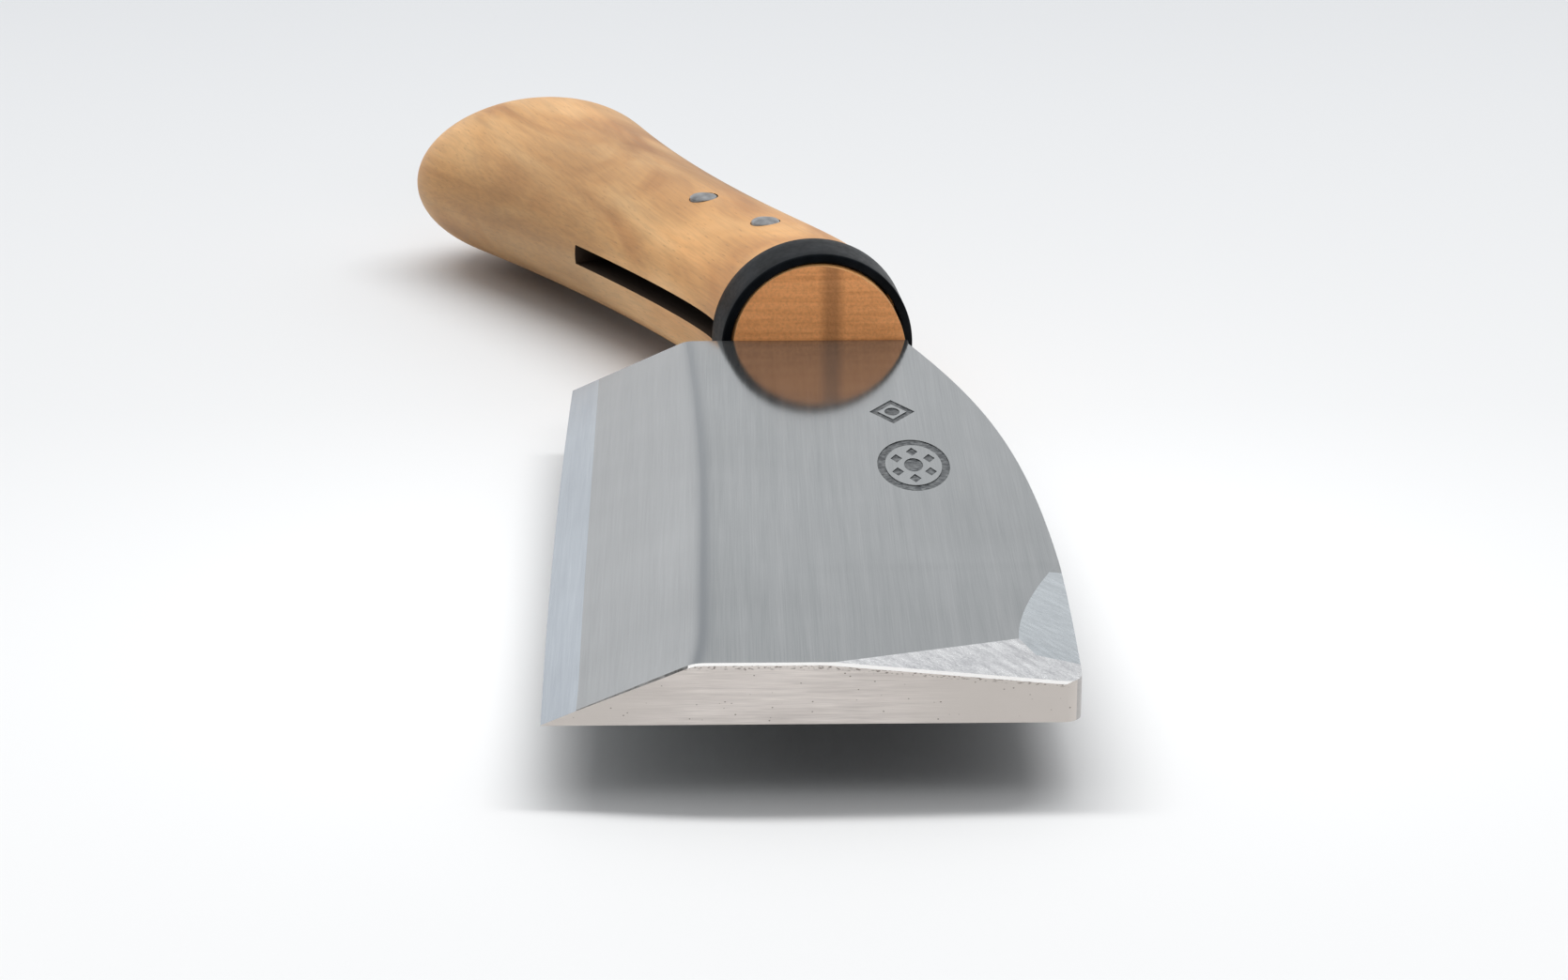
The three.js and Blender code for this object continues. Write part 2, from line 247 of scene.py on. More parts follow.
class Nodes:
    """Short calls for the procedural parts of one material."""

    def __init__(self, mat, turn=0.0):
        self.tree = mat.node_tree
        self.shader = self.tree.nodes["Principled BSDF"]
        self.coords = self.tree.nodes.new("ShaderNodeTexCoord").outputs["Object"]
        self.turn = turn

    def link(self, a, b):
        self.tree.links.new(a, b)

    def stretched(self, scale, turn=None):
        """Object coordinates, turned about z and scaled, for a pattern that runs one way."""
        spin = self.tree.nodes.new("ShaderNodeMapping")
        spin.inputs["Rotation"].default_value = (0, 0, self.turn if turn is None else turn)
        self.link(self.coords, spin.inputs["Vector"])
        size = self.tree.nodes.new("ShaderNodeMapping")
        size.inputs["Scale"].default_value = scale
        self.link(spin.outputs[0], size.inputs["Vector"])
        return size.outputs[0]

    def noise(self, vector, scale=1.0, detail=3.0, distortion=0.0):
        node = self.tree.nodes.new("ShaderNodeTexNoise")
        node.inputs["Scale"].default_value = scale
        node.inputs["Detail"].default_value = detail
        node.inputs["Distortion"].default_value = distortion
        self.link(vector, node.inputs["Vector"])
        return node.outputs["Fac"]

    def spots(self, vector, size):
        """1 inside small round spots, 0 elsewhere."""
        node = self.tree.nodes.new("ShaderNodeTexVoronoi")
        node.inputs["Scale"].default_value = 1
        self.link(vector, node.inputs["Vector"])
        return self.ramp(node.outputs["Distance"], [(0, 1), (size * 0.6, 1), (size, 0)])

    def ramp(self, factor, stops):
        """A ramp through (position, grey value or colour) stops."""
        node = self.tree.nodes.new("ShaderNodeValToRGB")
        ramp = node.color_ramp
        while len(ramp.elements) < len(stops):
            ramp.elements.new(0.5)
        for element, (position, value) in zip(ramp.elements, stops):
            element.position = position
            element.color = (*value, 1) if isinstance(value, tuple) else (value, value, value, 1)
        self.link(factor, node.inputs["Fac"])
        return node.outputs["Color"]

    def blend(self, factor, a, b, kind="MIX"):
        """Mixes two colours; each may be a socket or a colour, and factor a socket or a number."""
        node = self.tree.nodes.new("ShaderNodeMix")
        node.data_type = "RGBA"
        node.blend_type = kind
        for value, socket in ((factor, node.inputs[0]), (a, node.inputs[6]), (b, node.inputs[7])):
            if isinstance(value, bpy.types.NodeSocket):
                self.link(value, socket)
            elif isinstance(value, tuple):
                socket.default_value = (*value, 1)
            else:
                socket.default_value = value
        return node.outputs[2]

    def math(self, kind, a, b):
        node = self.tree.nodes.new("ShaderNodeMath")
        node.operation = kind
        for value, socket in ((a, node.inputs[0]), (b, node.inputs[1])):
            if isinstance(value, bpy.types.NodeSocket):
                self.link(value, socket)
            else:
                socket.default_value = value
        return node.outputs[0]

    def scaled(self, factor, low, high):
        node = self.tree.nodes.new("ShaderNodeMapRange")
        node.inputs["To Min"].default_value = low
        node.inputs["To Max"].default_value = high
        self.link(factor, node.inputs["Value"])
        return node.outputs[0]

    def along(self, axis):
        """The object coordinate along one axis, in metres."""
        split = self.tree.nodes.new("ShaderNodeSeparateXYZ")
        self.link(self.coords, split.inputs[0])
        return split.outputs["XYZ".index(axis)]

    def between(self, value, low, high):
        """0 where a value is at one end of a range, 1 at the other, and clamped outside it."""
        node = self.tree.nodes.new("ShaderNodeMapRange")
        node.inputs["From Min"].default_value = low
        node.inputs["From Max"].default_value = high
        self.link(value, node.inputs["Value"])
        return node.outputs[0]

    def part_of(self, axis, low, high):
        return self.between(self.along(axis), low, high)

    def bump(self, height, distance, strength=1.0, after=None):
        node = self.tree.nodes.new("ShaderNodeBump")
        node.inputs["Strength"].default_value = strength
        node.inputs["Distance"].default_value = distance
        self.link(height, node.inputs["Height"])
        if after is not None:
            self.link(after, node.inputs["Normal"])
        return node.outputs["Normal"]

    def colour(self, socket):
        self.link(socket, self.shader.inputs["Base Color"])

    def roughness(self, socket):
        self.link(socket, self.shader.inputs["Roughness"])

    def normal(self, socket):
        self.link(socket, self.shader.inputs["Normal"])


def ground_steel(name, dark, light, roughness, along_scale, turn=0.0, depth=0.000004):
    """Ground steel: fine scratches one way, broader streaks, and faint cloudy patches."""
    mat, _ = new_material(name, light, roughness[0], metallic=STEEL_METALLIC)
    n = Nodes(mat, turn)
    across, along = along_scale
    fine = n.noise(n.stretched((across * 9, along * 3, across * 9)), detail=2)
    broad = n.noise(n.stretched((across, along, across)), detail=4)
    patches = n.noise(n.stretched((45, 45, 45)), detail=4)
    streaks = n.blend(0.5, fine, broad)
    tone = n.ramp(streaks, [(0.3, dark), (0.7, light)])
    clouds = n.ramp(patches, [(0.3, 0.9), (0.7, 1.0)])
    n.colour(n.blend(1.0, tone, clouds, "MULTIPLY"))
    n.roughness(n.scaled(streaks, roughness[0], roughness[1]))
    n.normal(n.bump(fine, depth))
    return mat, n


def nose_steel():
    """The square-cut nose: warm, matt, brushed sideways, with dark pits under its top edge."""
    mat, n = ground_steel("nose_steel", (0.62, 0.565, 0.53), (0.95, 0.88, 0.83), (0.3, 0.42),
                          (2600, 110), turn=math.radians(90), depth=0.00001)
    base = n.shader.inputs["Base Color"].links[0].from_socket
    mottle = n.ramp(n.noise(n.stretched((60, 60, 240)), detail=6), [(0.35, 0.86), (0.6, 1.0)])
    base = n.blend(1.0, base, mottle, "MULTIPLY")
    left, right = (placed((x, 0, 0)).x for x in (-24, 18))
    for start, end in ((left + 0.011, left), (right - 0.012, right)):
        base = n.blend(n.part_of("X", start, end), base, (0.64, 0.59, 0.55))
    top = placed((0, 0, THICKNESS)).z
    facet_drop = n.part_of("X", placed((FACET_START_X, 0, 0)).x, placed((SPINE_X, 0, 0)).x)
    level = n.math("ADD", n.along("Z"), n.math("MULTIPLY", facet_drop, CORNER_DROP * MM))
    under_edge = n.between(level, top - 0.00085, top - 0.00055)
    dashes = n.ramp(n.noise(n.stretched((1900, 1900, 5200)), detail=3), [(0.55, 0.0), (0.62, 1.0)])
    pits = n.spots(n.stretched((900, 900, 1200)), 0.11)
    sparse = n.ramp(n.noise(n.stretched((420, 420, 420)), detail=1), [(0.48, 0.0), (0.56, 1.0)])
    dark = n.math("MAXIMUM", n.math("MULTIPLY", dashes, under_edge), n.math("MULTIPLY", pits, sparse))
    n.colour(n.blend(n.math("MULTIPLY", dark, 0.8), base, (0.1, 0.075, 0.055)))
    return mat


def steel_materials():
    """The steel of each part of the blade, as dark tone, light tone, roughness and scratch scale."""
    flat, _ = ground_steel("flat_steel", (0.295, 0.31, 0.315), (0.385, 0.395, 0.4),
                           (0.07, 0.13), (900, 25))
    # Painted shade: the underside is darker than the flat, so the floor beneath the blade stays in deep
    # shadow.
    back, _ = ground_steel("shaded_back_steel", (0.12, 0.12, 0.125), (0.2, 0.2, 0.205),
                           (0.3, 0.45), (700, 30))
    bevel, _ = ground_steel("bevel_steel", (0.38, 0.39, 0.395), (0.445, 0.455, 0.46),
                            (0.12, 0.2), (700, 20))
    edge, _ = ground_steel("edge_band_steel", (0.44, 0.48, 0.53), (0.54, 0.585, 0.635),
                           (0.14, 0.22), (900, 30))
    scratches = math.radians(-52)
    nose_facet, _ = ground_steel("nose_facet_steel", (0.44, 0.44, 0.46), (1.0, 1.0, 1.0), (0.16, 0.34),
                                 (1500, 45), turn=scratches, depth=0.000008)
    side_facet, _ = ground_steel("side_facet_steel", (0.42, 0.45, 0.47), (0.66, 0.7, 0.73), (0.18, 0.34),
                                 (1900, 70), turn=scratches, depth=0.000012)
    # Painted highlight: the worn edge of the nose is painted near white and glows weakly, as a glint.
    burr_glint, n = ground_steel("burr_glint_steel", (0.9, 0.89, 0.88), (1.0, 1.0, 1.0), (0.3, 0.45), (900, 900))
    n.shader.inputs["Metallic"].default_value = 0.0
    n.shader.inputs["Emission Color"].default_value = (1.0, 0.97, 0.93, 1)
    n.shader.inputs["Emission Strength"].default_value = 0.3
    worn, _ = ground_steel("worn_edge_steel", (0.05, 0.045, 0.04), (0.5, 0.49, 0.48),
                           (0.3, 0.45), (900, 900))
    spine, _ = ground_steel("spine_steel", (0.4, 0.38, 0.37), (0.54, 0.515, 0.5), (0.3, 0.42),
                            (2000, 40), turn=math.radians(10))
    # Painted shade: a dark line along the ridge where bevel and flat meet.
    for surface in (flat, bevel):
        paint_ridge_shade(surface)
    return {"flat": flat, "bevel": bevel, "nose": nose_steel(), "nose_facet": nose_facet, "burr_glint": burr_glint,
            "spine": spine, "side_facet": side_facet, "back": back, "mark": etched_steel(),
            "worn_edge": worn, "edge": edge}


def paint_ridge_shade(mat):
    """Paints shade along the ridge: darkens the steel where the mesh's ridge value is high."""
    n = Nodes(mat)
    base = n.shader.inputs["Base Color"].links[0].from_socket
    ridge = n.tree.nodes.new("ShaderNodeAttribute")
    ridge.attribute_name = "ridge"
    n.colour(n.blend(ridge.outputs["Fac"], base, (0.2, 0.215, 0.23)))


def etched_steel():
    """The dark worn floor of the stamped marks."""
    mat, _ = new_material("etched_steel", (0.1, 0.105, 0.11), 0.5, metallic=0.6)
    n = Nodes(mat)
    wear = n.noise(n.stretched((1800, 1800, 1800)), detail=3)
    n.colour(n.ramp(wear, [(0.35, (0.045, 0.05, 0.055)), (0.7, (0.2, 0.21, 0.215))]))
    return mat


def long_grain_wood():
    """Pale close-grained wood: soft figure along the grip, fine pores and short dark rays."""
    mat, _ = new_material("long_grain_wood", (0.6, 0.37, 0.2), 0.5)
    n = Nodes(mat, turn=math.radians(-22))
    figure = n.noise(n.stretched((75, 26, 75)), detail=4, distortion=1.2)
    bands = n.noise(n.stretched((420, 22, 420)), detail=4, distortion=0.4)
    fine = n.noise(n.stretched((2600, 130, 2600)), detail=3)
    rays = n.spots(n.stretched((1700, 260, 1700)), 0.2)
    tone = n.ramp(figure, [(0.32, (0.64, 0.3, 0.105)), (0.5, (0.87, 0.47, 0.185)),
                           (0.68, (1.0, 0.6, 0.27))])
    clouds = n.noise(n.stretched((40, 18, 40)), detail=3, distortion=0.6)
    tone = n.blend(1.0, tone, n.ramp(clouds, [(0.38, 0.76), (0.6, 1.0)]), "MULTIPLY")
    butt = n.part_of("Y", placed((0, GRIP_START.y, 0)).y, placed((0, BEND[-1].y, 0)).y)
    length_tones = n.ramp(butt, [(0.25, 1.0), (0.45, 0.62), (0.65, 0.58), (0.85, 0.8)])
    tone = n.blend(1.0, tone, length_tones, "MULTIPLY")
    tone = n.blend(0.55, tone, n.ramp(bands, [(0.35, 0.84), (0.6, 1.0)]), "MULTIPLY")
    tone = n.blend(0.6, tone, n.ramp(fine, [(0.35, 0.8), (0.6, 1.0)]), "MULTIPLY")
    n.colour(n.blend(n.scaled(rays, 0, 0.3), tone, (0.3, 0.16, 0.07)))
    n.roughness(n.scaled(fine, 0.42, 0.6))
    n.normal(n.bump(fine, 0.00003, after=n.bump(rays, 0.00003, strength=0.5)))
    return mat


def end_grain_wood():
    """Sawn end grain: orange brown, flat growth lines, and a darker upright stripe."""
    mat, _ = new_material("end_grain_wood", (0.5, 0.24, 0.1), 0.55)
    n = Nodes(mat)
    lines = n.noise(n.stretched((60, 60, 1300)), detail=4, distortion=0.3)
    speckle = n.noise(n.stretched((2600, 2600, 2600)), detail=2)
    tone = n.ramp(lines, [(0.35, (0.84, 0.35, 0.12)), (0.6, (1.0, 0.44, 0.165))])
    tone = n.blend(0.6, tone, n.ramp(speckle, [(0.35, 0.75), (0.6, 1.0)]), "MULTIPLY")
    stripe_x = placed((GRIP_START.x + 1.7, 0, 0)).x
    left = n.part_of("X", stripe_x - 0.002, stripe_x - 0.0006)
    right = n.part_of("X", stripe_x + 0.002, stripe_x + 0.0006)
    stripe = n.math("MULTIPLY", left, right)
    n.colour(n.blend(n.scaled(stripe, 0, 0.5), tone, (0.16, 0.07, 0.028)))
    n.normal(n.bump(speckle, 0.00004))
    return mat


def plain_wood(name, colour, roughness):
    mat, _ = new_material(name, colour, roughness)
    n = Nodes(mat, turn=math.radians(-22))
    fine = n.noise(n.stretched((1800, 160, 1800)), detail=3)
    n.colour(n.blend(n.scaled(fine, 0.1, 0.6), colour, tuple(c * 0.6 for c in colour)))
    n.normal(n.bump(fine, 0.00004))
    return mat


def black_steel():
    """Blackened ferrule steel with faint scratches and a rubbed sheen."""
    mat, shader = new_material("black_steel", (0.008, 0.009, 0.011), 0.33)
    shader.inputs["Specular IOR Level"].default_value = 0.05
    n = Nodes(mat)
    blotch = n.noise(n.stretched((260, 260, 260)), detail=5)
    fine = n.noise(n.stretched((900, 900, 2400)), detail=3)
    n.colour(n.ramp(blotch, [(0.35, (0.003, 0.004, 0.005)), (0.75, (0.009, 0.011, 0.014))]))
    n.roughness(n.scaled(fine, 0.24, 0.48))
    n.normal(n.bump(blotch, 0.00006, after=n.bump(fine, 0.00001)))
    return mat


def rivet_steel():
    """Grey hammered steel of the rivets and washers."""
    mat, _ = new_material("rivet_steel", (0.33, 0.34, 0.35), 0.4, metallic=1.0)
    n = Nodes(mat)
    dents = n.noise(n.stretched((700, 700, 700)), detail=3)
    fine = n.noise(n.stretched((3000, 3000, 3000)), detail=2)
    n.colour(n.ramp(dents, [(0.3, (0.24, 0.24, 0.245)), (0.7, (0.45, 0.455, 0.46))]))
    n.roughness(n.scaled(fine, 0.3, 0.5))
    n.normal(n.bump(dents, 0.00012, after=n.bump(fine, 0.00001)))
    return mat


def floor_material():
    """A plain pale table top, with painted shade that darkens it into the distance."""
    mat, _ = new_material("pale_floor", (0.86, 0.86, 0.87), 0.7)
    n = Nodes(mat)
    far = n.part_of("Y", -0.2, 0.35)
    n.colour(n.ramp(far, [(0.0, (0.9, 0.9, 0.9)), (0.4, (0.72, 0.725, 0.73)), (1.0, (0.61, 0.62, 0.635))]))
    return mat


STEEL = steel_materials()
LONG_GRAIN = long_grain_wood()
END_GRAIN = end_grain_wood()
END_CHAMFER_WOOD = plain_wood("chamfer_wood", (0.66, 0.38, 0.18), 0.5)
# Painted shade: the walls of the slot and the rivet holes are painted near black, for the shade inside
# them.
SLOT_SHADE_WOOD = plain_wood("slot_shade_wood", (0.045, 0.027, 0.016), 0.8)
BLACK = black_steel()
RIVET = rivet_steel()


# ---------------------------------------------------------------- blade

def edge_x(y):
    """The cutting edge, very slightly bellied."""
    v = y / LENGTH
    nose, belly, heel = EDGE_CURVE
    return nose * (1 - v) ** 2 + 2 * belly * v * (1 - v) + heel * v * v


def ridge_x(y):
    """Where the ground bevel meets the flat, straight in the middle and bowed at both ends."""
    straight_from, straight_to = RIDGE_STRAIGHT
    nose_bow, grip_bow = RIDGE_BOWS
    if y < straight_from:
        return RIDGE_MIDDLE - nose_bow * (1 - y / straight_from) ** 2
    return RIDGE_MIDDLE - grip_bow * (max(y - straight_to, 0) / (LENGTH - straight_to)) ** 2


def layer_boundary(y):
    """Where the top of the hardened layer comes out on the bevel."""
    share = (STEEL_THICKNESS - EDGE_HEIGHT) / (THICKNESS - EDGE_HEIGHT)
    return edge_x(y) + (ridge_x(y) - edge_x(y)) * share


def top_height(x, y):
    """The top of the blade across the bevel and the flat, with a softly rounded ridge."""
    share = (x - edge_x(y)) / (ridge_x(y) - edge_x(y))
    slope = lerp(EDGE_HEIGHT, THICKNESS, share)
    k = RIDGE_SOFTNESS
    return THICKNESS - k * math.log(1 + math.exp(clamp((THICKNESS - slope) / k, -30, 30)))


def spine_stations():
    """Places along the rounded nose corner and the curved spine, as (x, y)."""
    r = CORNER_RADIUS
    arc_steps = 14
    curve_steps = 72
    stations = []
    for i in range(arc_steps + 1):
        a = math.pi / 2 * i / arc_steps
        stations.append((SPINE_X - r + r * math.sin(a), r - r * math.cos(a)))
    start = Vector((SPINE_X, r))
    bow = Vector((SPINE_X + SPINE_BULGE, LENGTH * SPINE_BULGE_SHARE))
    lead = Vector((NECK[0] + NECK_LEAD[0], NECK[1] - NECK_LEAD[1]))
    for i in range(1, curve_steps + 1):
        t = i / curve_steps
        p = (start * (1 - t) ** 3 + bow * 3 * t * (1 - t) ** 2
             + lead * 3 * t * t * (1 - t) + Vector(NECK) * t ** 3)
        stations.append((p.x, p.y))
    stations.append((NECK[0], LENGTH))
    return stations


def facet_points(spine_x, y):
    """Top points of one section across the two nose facets: flat's end, divide and rim."""
    meet_x, meet_y = FACET_MEETING
    rim = THICKNESS - CORNER_DROP * clamp(1 - y / FACET_END_Y) ** 1.15
    if y < meet_y:
        share = y / meet_y
        corner_x = SPINE_X - CORNER_RADIUS
        flat_end = (lerp(FACET_START_X, meet_x, share), THICKNESS)
        divide = (lerp(corner_x, meet_x, share), lerp(THICKNESS - CORNER_DROP, THICKNESS, share))
        return [flat_end, divide, (spine_x, rim)]
    if y < FACET_END_Y:
        x = meet_x + SIDE_FACET_WIDTH * ((y - meet_y) / (FACET_END_Y - meet_y)) ** 1.6
        x = min(x, spine_x - 2 * SLIVER)
        return [(x, THICKNESS), (x + SLIVER, THICKNESS - SLIVER / 5), (spine_x, rim)]
    flat_end, divide = spine_x - 3 * SLIVER, spine_x - 2 * SLIVER
    return [(flat_end, THICKNESS), (divide, THICKNESS), (spine_x, THICKNESS - SLIVER / 5)]


def with_stations(ys):
    """The spine's places with extra ones added at the given distances from the nose."""
    stations = spine_stations()
    for y in ys:
        for (x0, y0), (x1, y1) in zip(stations, stations[1:]):
            if y0 < y < y1:
                stations.append((lerp(x0, x1, (y - y0) / (y1 - y0)), y))
                stations.sort(key=lambda s: s[1])
                break
    return stations


def forging_section(spine_x, y):
    """One closed section of the blade body, from the layer boundary round over the top.

    The last bit of the top before the nose slopes down, where the edge is worn.
    """
    rx = ridge_x(y)
    worn = max(BURR_WIDTH - y, 0)
    top = [(rx + d, top_height(rx + d, y)) for d in RIDGE_OFFSETS] + facet_points(spine_x, y)
    top = [(layer_boundary(y), STEEL_THICKNESS)] + [(x, z - worn) for x, z in top]
    under = [(spine_x, 0), (STEEL_INNER_X, 0), (STEEL_INNER_X, STEEL_THICKNESS)]
    return [(x, y, z) for x, z in top + under]


def tint_faces(bm, chooser):
    for face in bm.faces:
        face.material_index = chooser(face)


FORGING_TINTS = ("flat", "bevel", "nose", "nose_facet", "burr_glint", "spine", "side_facet", "back", "mark",
                 "worn_edge")


def blade_tint(face):
    """The material of each face of the forging, as a place in FORGING_TINTS."""
    centre = (face.calc_center_median() - PLACE) / MM
    normal = face.normal
    from_ridge = centre.x - ridge_x(centre.y)
    # Painted highlight: the worn strip on the flat side of the nose takes the glowing glint steel.
    if centre.y < BURR_WIDTH and normal.z > 0.3:
        tint = "burr_glint" if from_ridge > -0.5 else "worn_edge"
    elif normal.y < -0.7 and abs(normal.z) < 0.5:
        tint = "nose"
    elif normal.z < 0.5:
        # Faces turned down take the dark back steel, as painted shade under the blade.
        tint = "spine" if normal.z > -0.5 else "back"
    elif from_ridge < -0.1:
        tint = "bevel"
    elif centre.x > FACET_START_X and normal.y < -0.15:
        tint = "nose_facet"
    elif normal.x > 0.1:
        tint = "side_facet"
    else:
        tint = "flat"
    return FORGING_TINTS.index(tint)


def blade_forging():
    """The forging lofted from the nose to the grip, with its ridge marked for a line of painted shade."""
    bm = rings_mesh([forging_section(x, y) for x, y in with_stations(NOSE_STATIONS)])
    bmesh.ops.remove_doubles(bm, verts=bm.verts, dist=2e-6)
    # How much painted shade each point near the ridge takes, fading towards the grip.
    ridge_shade_layer = bm.verts.layers.float.new("ridge")
    for vert in bm.verts:
        x, y, z = (vert.co - PLACE) / MM
        off_centre = (x - ridge_x(y) - RIDGE_SHADE[0]) / RIDGE_SHADE[1]
        vert[ridge_shade_layer] = math.exp(-off_centre ** 2) * (1 - 0.4 * clamp(y / LENGTH)) if z > 5 else 0
    bm.normal_update()
    bmesh.ops.recalc_face_normals(bm, faces=bm.faces)
    tint_faces(bm, blade_tint)
    return new_object("blade_forging", bm, [STEEL[tint] for tint in FORGING_TINTS], sharp_angle=9)


def plate_cutter(outline, hole=()):
    """A cutter for one shallow mark in the flat: a closed outline, with an optional hole."""
    low, high = THICKNESS - MARK_DEPTH, THICKNESS + 1
    bm = bmesh.new()
    levels = []
    for z in (low, high):
        loops = [[bm.verts.new(placed((x, y, z))) for x, y in loop] for loop in (outline, hole) if loop]
        levels.append(loops)
        for loop in loops:
            for i in range(len(loop)):
                bm.edges.new((loop[i], loop[(i + 1) % len(loop)]))
        edges = [e for e in bm.edges if all(abs(v.co.z - placed((0, 0, z)).z) < 1e-7 for v in e.verts)]
        bmesh.ops.triangle_fill(bm, use_beauty=True, edges=edges)
    for below, above in zip(*levels):
        for i in range(len(below)):
            j = (i + 1) % len(below)
            bm.faces.new((below[i], below[j], above[j], above[i]))
    for face in bm.faces:
        face.material_index = FORGING_TINTS.index("mark")
    return new_object("mark_cutter", bm, [])


def polygon(centre, radius, sides, squash):
    """A regular outline round a centre, stretched along the blade."""
    angles = [2 * math.pi * i / sides for i in range(sides)]
    return [(centre[0] + radius * math.cos(a), centre[1] + squash * radius * math.sin(a)) for a in angles]


def marks():
    """Plain geometric stamps: a small framed lozenge, and a ring with six lozenges round a disc."""
    small_squash, large_squash = 1.6, 2.1
    small = [polygon(SMALL_MARK, *shape, small_squash) for shape in ((3.0, 4), (1.9, 4), (1.0, 16))]
    large = [polygon(LARGE_MARK, *shape, large_squash) for shape in ((4.6, 48), (3.6, 48), (1.2, 24))]
    cutters = []
    for outline, hole, middle in (small, large):
        cutters += [plate_cutter(outline, hole), plate_cutter(middle)]
    for i in range(6):
        a = math.pi / 6 + math.pi / 3 * i
        spot = (LARGE_MARK[0] + 2.4 * math.cos(a), LARGE_MARK[1] + 5 * math.sin(a))
        cutters.append(plate_cutter(polygon(spot, 0.75, 4, large_squash)))
    return cutters


def hardened_strip():
    """The hardened layer: its bevelled face is the pale band along the cutting edge."""
    sections = []
    for _, y in spine_stations():
        section = [(edge_x(y), 0), (edge_x(y), EDGE_HEIGHT), (layer_boundary(y), STEEL_THICKNESS),
                   (STEEL_INNER_X, STEEL_THICKNESS), (STEEL_INNER_X, 0)]
        sections.append([(sx, y, sz) for sx, sz in section])
    bm = rings_mesh(sections)
    bmesh.ops.recalc_face_normals(bm, faces=bm.faces)

    def chooser(face):
        if face.normal.y < -0.9:
            return 1
        return 0 if face.normal.z > 0.2 or abs(face.normal.x) > 0.9 else 2

    tint_faces(bm, chooser)
    return new_object("hardened_edge", bm, [STEEL["edge"], STEEL["nose"], STEEL["flat"]], 9)


# ---------------------------------------------------------------- grip

def axis_table():
    """The grip's axis as (distance along, point, direction), first straight, then curved."""
    forward = Vector((-math.sin(GRIP_HEADING), math.cos(GRIP_HEADING)))
    seat_end = GRIP_START + forward * SEAT_LENGTH
    table = [(-5, GRIP_START - forward * 5, forward), (0, GRIP_START, forward),
             (SEAT_LENGTH, seat_end, forward)]
    points = [seat_end] + BEND
    steps = 240
    along = SEAT_LENGTH
    last = seat_end
    for i in range(1, steps + 1):
        t = i / steps
        weights = ((1 - t) ** 3, 3 * t * (1 - t) ** 2, 3 * t * t * (1 - t), t ** 3)
        here = sum((p * w for p, w in zip(points, weights)), Vector((0, 0)))
        along += (here - last).length
        slopes = ((1 - t) ** 2, 2 * t * (1 - t), t * t)
        direction = sum(((b - a) * w for a, b, w in zip(points, points[1:], slopes)), Vector((0, 0)))
        table.append((along, here, direction.normalized()))
        last = here
    return table


AXIS = axis_table()
GRIP_LENGTH = AXIS[-1][0]


def grip_axis(along):
    for (s0, p0, d0), (s1, p1, d1) in zip(AXIS, AXIS[1:]):
        if along <= s1:
            share = (along - s0) / (s1 - s0)
            return p0.lerp(p1, share), d0.lerp(d1, share).normalized()
    return AXIS[-1][1], AXIS[-1][2]


def beside_grip(along, aside):
    point, direction = grip_axis(along)
    return point + Vector((direction.y, -direction.x)) * aside


def smooth_size(controls, along):
    u = clamp((along - SEAT_LENGTH) / (GRIP_LENGTH - SEAT_LENGTH))
    a, b, c, d = controls
    return a * (1 - u) ** 3 + 3 * b * u * (1 - u) ** 2 + 3 * c * u * u * (1 - u) + d * u ** 3


def ferrule_radius(along):
    share = (along - FERRULE["front"]) / FERRULE["length"]
    return lerp(FERRULE["front_radius"], FERRULE["rear_radius"], share)


def seat_fullness(along):
    return (ferrule_radius(along) - FERRULE["wall"] - GAP) / (WIDTHS[0] / 2)


def grip_profile():
    """(distance along, fullness) of the grip: a turned seat, a soft shoulder, body and butt."""
    shoulder = FERRULE["front"] + FERRULE["length"] + GAP
    profile = [(s, seat_fullness(s)) for s in (-4, shoulder * 0.6, shoulder)]
    round_off = 0.5
    for i in range(5):
        a = math.pi / 2 * i / 4
        drop = round_off * (1 - math.sin(a)) / (WIDTHS[0] / 2)
        profile.append((shoulder + 0.02 + round_off * (1 - math.cos(a)), 1 - drop))
    butt_start = GRIP_LENGTH - BUTT_LENGTH
    body_start = shoulder + round_off + 1
    body_steps = 60
    profile += [(lerp(body_start, butt_start, i / body_steps), 1) for i in range(body_steps + 1)]
    butt_steps = 26
    for i in range(1, butt_steps):
        reach = math.sin(i / butt_steps * math.pi / 2)
        fullness = (1 - reach ** BUTT_POWER) ** (1 / BUTT_POWER)
        profile.append((butt_start + BUTT_LENGTH * reach, fullness))
    return profile


def grip_ring(along, fullness, count=120):
    ring = []
    for i in range(count):
        a = 2 * math.pi * i / count
        spot = beside_grip(along, math.cos(a) * fullness * smooth_size(WIDTHS, along) / 2)
        height = AXIS_HEIGHT + math.sin(a) * fullness * smooth_size(HEIGHTS, along) / 2
        ring.append((spot.x, spot.y, height))
    return ring


def tang_half_width(along):
    return lerp(TANG_WIDTHS[0], TANG_WIDTHS[1], clamp(along / TANG_LENGTH)) / 2


def strip_along_grip(name, start, end, left, right, low, high, index=0):
    """A closed strip that follows the grip's axis between two heights."""
    steps = 40
    rings = []
    for i in range(steps + 1):
        along = lerp(start, end, i / steps)
        a, b = beside_grip(along, left(along)), beside_grip(along, right(along))
        rings.append([(a.x, a.y, low), (b.x, b.y, low), (b.x, b.y, high), (a.x, a.y, high)])
    bm = rings_mesh(rings)
    for face in bm.faces:
        face.material_index = index
    return new_object(name, bm, [])


def rivet_spot(along, aside):
    spot = beside_grip(along, aside)
    half_width = smooth_size(WIDTHS, along) / 2
    rise = smooth_size(HEIGHTS, along) / 2 * math.sqrt(1 - (aside / half_width) ** 2)
    return spot.x, spot.y, AXIS_HEIGHT - rise, AXIS_HEIGHT + rise


def upright_cutter(name, radius, x, y, low, high, index=0):
    bm = lathe_mesh([(0, low), (radius, low), (radius, high), (0, high)], 64)
    bmesh.ops.translate(bm, verts=bm.verts, vec=placed((x, y, 0)))
    for face in bm.faces:
        face.material_index = index
    return new_object(name, bm, [])


